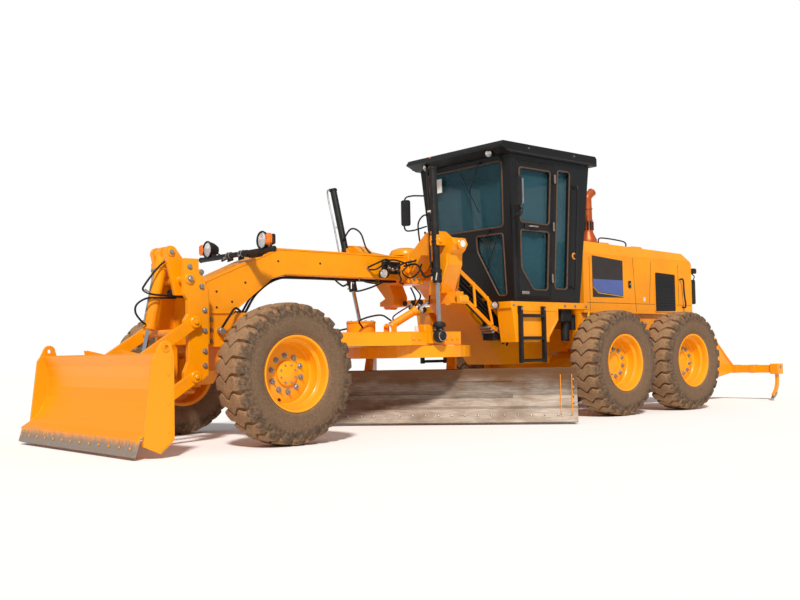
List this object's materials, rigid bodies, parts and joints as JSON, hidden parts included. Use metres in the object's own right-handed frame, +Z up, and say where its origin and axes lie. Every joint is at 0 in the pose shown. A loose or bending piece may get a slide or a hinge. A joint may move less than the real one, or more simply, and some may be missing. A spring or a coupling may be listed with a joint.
{
  "type": "motor grader",
  "caption": "Articulated six-wheel motor grader with a front blade, a turning centre blade under an arched beam, an enclosed cab and a rear ripper.",
  "frame": {"origin": "on the floor under the middle of the machine's bounding box, 183 mm to the left of its centre plane, because the slanted centre blade reaches further out on the left", "axes": "+X forwards, +Y to the machine's left, +Z up"},
  "size_m": [11.105, 2.9468, 3.37],
  "materials": {
    "orange_paint": "glossy enamel, lightly dusted",
    "rim_paint": "semi-gloss enamel, dusty",
    "cab_paint": "satin",
    "black_steel": "satin, dusty",
    "cab_glass": "clear",
    "seat": "matte",
    "chrome_rod": "polished",
    "worn_steel": "polished by soil, dirt along its top",
    "exhaust": "heat-browned",
    "tyre": "matte, caked with dry tan mud"
  },
  "bodies": {
    "root": {"main_frame": "orange_paint", "blade_lift_yoke": "orange_paint", "headlight_bar": "black_steel", "front_axle": "orange_paint", "cab_platform": "cab_paint", "ladder_left": "black_steel", "ladder_right": "black_steel", "cab_shell": "cab_paint", "cab_roof": "cab_paint", "front_glass": "cab_glass", "rear_glass": "cab_glass", "quarter_glass_left": "cab_glass", "quarter_glass_right": "cab_glass", "operator_seat": "seat", "steering_console": "black_steel", "lift_cylinder_left": "black_steel", "lift_cylinder_right": "black_steel", "dozer_mount": "orange_paint"},
    "door_left": {"door_left": "cab_paint", "door_left_glass": "cab_glass"},
    "door_right": {"door_right": "cab_paint", "door_right_glass": "cab_glass"},
    "drawbar": {"drawbar": "orange_paint"},
    "circle": {"circle": "orange_paint"},
    "moldboard": {"moldboard": "worn_steel"},
    "centre_shift_cylinder": {"centre_shift_cylinder": "orange_paint"},
    "centre_shift_rod": {"centre_shift_rod": "chrome_rod"},
    "lift_rod_left": {"lift_rod_left": "chrome_rod"},
    "lift_rod_right": {"lift_rod_right": "chrome_rod"},
    "dozer_push_arms": {"dozer_push_arms": "orange_paint"},
    "dozer_blade": {"dozer_blade": "orange_paint"},
    "dozer_upper_links": {"dozer_upper_links": "orange_paint"},
    "dozer_cylinder": {"dozer_cylinder": "orange_paint"},
    "dozer_rod": {"dozer_rod": "chrome_rod"},
    "rear_frame": {"rear_frame": "orange_paint", "engine_block": "black_steel", "hood": "orange_paint", "exhaust_stack": "exhaust", "rear_axle": "orange_paint"},
    "ripper": {"ripper": "orange_paint"},
    "ripper_cylinder": {"ripper_cylinder": "orange_paint"},
    "ripper_rod": {"ripper_rod": "chrome_rod"},
    "front_left_lean": {"front_left_lean_yoke": "orange_paint"},
    "front_left_steer": {"front_left_spindle": "orange_paint"},
    "front_left_wheel": {"front_left_tyre": "tyre", "front_left_rim": "rim_paint"},
    "front_right_lean": {"front_right_lean_yoke": "orange_paint"},
    "front_right_steer": {"front_right_spindle": "orange_paint"},
    "front_right_wheel": {"front_right_tyre": "tyre", "front_right_rim": "rim_paint"},
    "mid_left_wheel": {"mid_left_tyre": "tyre", "mid_left_rim": "rim_paint"},
    "mid_right_wheel": {"mid_right_tyre": "tyre", "mid_right_rim": "rim_paint"},
    "rear_left_wheel": {"rear_left_tyre": "tyre", "rear_left_rim": "rim_paint"},
    "rear_right_wheel": {"rear_right_tyre": "tyre", "rear_right_rim": "rim_paint"}
  },
  "joints": [
    {"name": "front_left_wheel_lean", "type": "hinge", "parent": "root", "child": "front_left_lean", "pos_m": [3.8925, 0.4166, 0.64], "axis": [-1, 0, 0], "range_deg": [-17, 17]},
    {"name": "front_left_wheel_steer", "type": "hinge", "parent": "front_left_lean", "child": "front_left_steer", "pos_m": [3.8925, 0.6166, 0.673], "axis": [0, 0, 1], "range_deg": [-40, 40]},
    {"name": "front_left_wheel_roll", "type": "hinge", "parent": "front_left_steer", "child": "front_left_wheel", "pos_m": [3.8925, 0.8841, 0.673], "axis": [0, 1, 0], "continuous": true},
    {"name": "front_right_wheel_lean", "type": "hinge", "parent": "root", "child": "front_right_lean", "pos_m": [3.8925, -0.7834, 0.64], "axis": [-1, 0, 0], "range_deg": [-17, 17]},
    {"name": "front_right_wheel_steer", "type": "hinge", "parent": "front_right_lean", "child": "front_right_steer", "pos_m": [3.8925, -0.9834, 0.673], "axis": [0, 0, 1], "range_deg": [-40, 40]},
    {"name": "front_right_wheel_roll", "type": "hinge", "parent": "front_right_steer", "child": "front_right_wheel", "pos_m": [3.8925, -1.2509, 0.673], "axis": [0, 1, 0], "continuous": true},
    {"name": "articulation", "type": "hinge", "parent": "root", "child": "rear_frame", "pos_m": [-1.0575, -0.1834, 1], "axis": [0, 0, 1], "range_deg": [-20, 20]},
    {"name": "mid_left_wheel_roll", "type": "hinge", "parent": "rear_frame", "child": "mid_left_wheel", "pos_m": [-1.1875, 0.8841, 0.673], "axis": [0, 1, 0], "continuous": true},
    {"name": "mid_right_wheel_roll", "type": "hinge", "parent": "rear_frame", "child": "mid_right_wheel", "pos_m": [-1.1875, -1.2509, 0.673], "axis": [0, 1, 0], "continuous": true},
    {"name": "rear_left_wheel_roll", "type": "hinge", "parent": "rear_frame", "child": "rear_left_wheel", "pos_m": [-2.7275, 0.8841, 0.673], "axis": [0, 1, 0], "continuous": true},
    {"name": "rear_right_wheel_roll", "type": "hinge", "parent": "rear_frame", "child": "rear_right_wheel", "pos_m": [-2.7275, -1.2509, 0.673], "axis": [0, 1, 0], "continuous": true},
    {"name": "blade_lift", "type": "hinge", "parent": "root", "child": "drawbar", "pos_m": [3.6125, -0.1834, 0.98], "axis": [0, 1, 0], "range_deg": [-14, 7]},
    {"name": "circle_turn", "type": "hinge", "parent": "drawbar", "child": "circle", "pos_m": [1.4125, -0.1834, 0.924], "axis": [0, 0, 1], "continuous": true},
    {"name": "blade_side_shift", "type": "slide", "parent": "circle", "child": "moldboard", "axis": [-0.6455, 0.7638, 0], "range_m": [-0.5, 0.5]},
    {"name": "lift_rod_left_slide", "type": "slide", "parent": "root", "child": "lift_rod_left", "axis": [0, -0.0314, 0.9995], "range_m": [-0.52, 0.27]},
    {"name": "lift_rod_right_slide", "type": "slide", "parent": "root", "child": "lift_rod_right", "axis": [0.051, -0.2193, 0.9743], "range_m": [-0.52, 0.27]},
    {"name": "centre_shift_hinge", "type": "hinge", "parent": "drawbar", "child": "centre_shift_cylinder", "pos_m": [1.8325, 0.0166, 1.155], "axis": [-0.6, -0.8, 0], "range_deg": [-46, 24]},
    {"name": "centre_shift_slide", "type": "slide", "parent": "centre_shift_cylinder", "child": "centre_shift_rod", "axis": [-0.686, 0.5145, 0.5145], "range_m": [-0.2, 0.3]},
    {"name": "dozer_lift", "type": "hinge", "parent": "root", "child": "dozer_push_arms", "pos_m": [4.4645, -0.1834, 0.654], "axis": [0, -1, 0], "range_deg": [-12, 55]},
    {"name": "dozer_blade_pivot", "type": "hinge", "parent": "dozer_push_arms", "child": "dozer_blade", "pos_m": [5.0195, -0.1834, 0.302], "axis": [0, -1, 0], "range_deg": [-56, 13]},
    {"name": "dozer_upper_link_pivot", "type": "hinge", "parent": "root", "child": "dozer_upper_links", "pos_m": [4.4645, -0.1834, 1.18], "axis": [0, -1, 0], "range_deg": [-13, 56]},
    {"name": "dozer_cylinder_pivot", "type": "hinge", "parent": "root", "child": "dozer_cylinder", "pos_m": [4.5925, -0.1834, 1.87], "axis": [0, -1, 0], "range_deg": [-5, 12]},
    {"name": "dozer_rod_slide", "type": "slide", "parent": "dozer_cylinder", "child": "dozer_rod", "axis": [0.2098, 0, -0.9777], "range_m": [-0.5, 0.12]},
    {"name": "ripper_lift", "type": "hinge", "parent": "rear_frame", "child": "ripper", "pos_m": [-4.4575, -0.1834, 0.5], "axis": [0, 1, 0], "range_deg": [-15, 35]},
    {"name": "ripper_cylinder_pivot", "type": "hinge", "parent": "rear_frame", "child": "ripper_cylinder", "pos_m": [-4.0875, -0.1834, 0.98], "axis": [0, 1, 0], "range_deg": [-20, 30]},
    {"name": "ripper_rod_slide", "type": "slide", "parent": "ripper_cylinder", "child": "ripper_rod", "axis": [-0.9993, 0, -0.0366], "range_m": [-0.35, 0.2]},
    {"name": "door_left_hinge", "type": "hinge", "parent": "root", "child": "door_left", "pos_m": [-0.4225, 0.51025, 1.5], "axis": [0, 0.061, 0.9981], "range_deg": [0, 95]},
    {"name": "door_right_hinge", "type": "hinge", "parent": "root", "child": "door_right", "pos_m": [-0.4225, -0.87705, 1.5], "axis": [0, 0.061, -0.9981], "range_deg": [0, 95]}
  ],
  "couplings": [
    {"joint": "front_right_wheel_lean", "follows": "front_left_wheel_lean", "ratio": 1},
    {"joint": "front_right_wheel_steer", "follows": "front_left_wheel_steer", "ratio": 1},
    {"joint": "lift_rod_left_slide", "follows": "blade_lift", "m_per_rad": 2},
    {"joint": "lift_rod_right_slide", "follows": "blade_lift", "m_per_rad": 2},
    {"joint": "centre_shift_hinge", "follows": "blade_lift", "ratio": 3.15},
    {"joint": "centre_shift_slide", "follows": "blade_lift", "m_per_rad": -0.77},
    {"joint": "dozer_blade_pivot", "follows": "dozer_lift", "ratio": -1},
    {"joint": "dozer_upper_link_pivot", "follows": "dozer_lift", "ratio": 1},
    {"joint": "dozer_cylinder_pivot", "follows": "dozer_lift", "ratio": 0.14},
    {"joint": "dozer_rod_slide", "follows": "dozer_lift", "m_per_rad": -0.45},
    {"joint": "ripper_cylinder_pivot", "follows": "ripper_lift", "ratio": 0.5},
    {"joint": "ripper_rod_slide", "follows": "ripper_lift", "m_per_rad": -0.45}
  ]
}
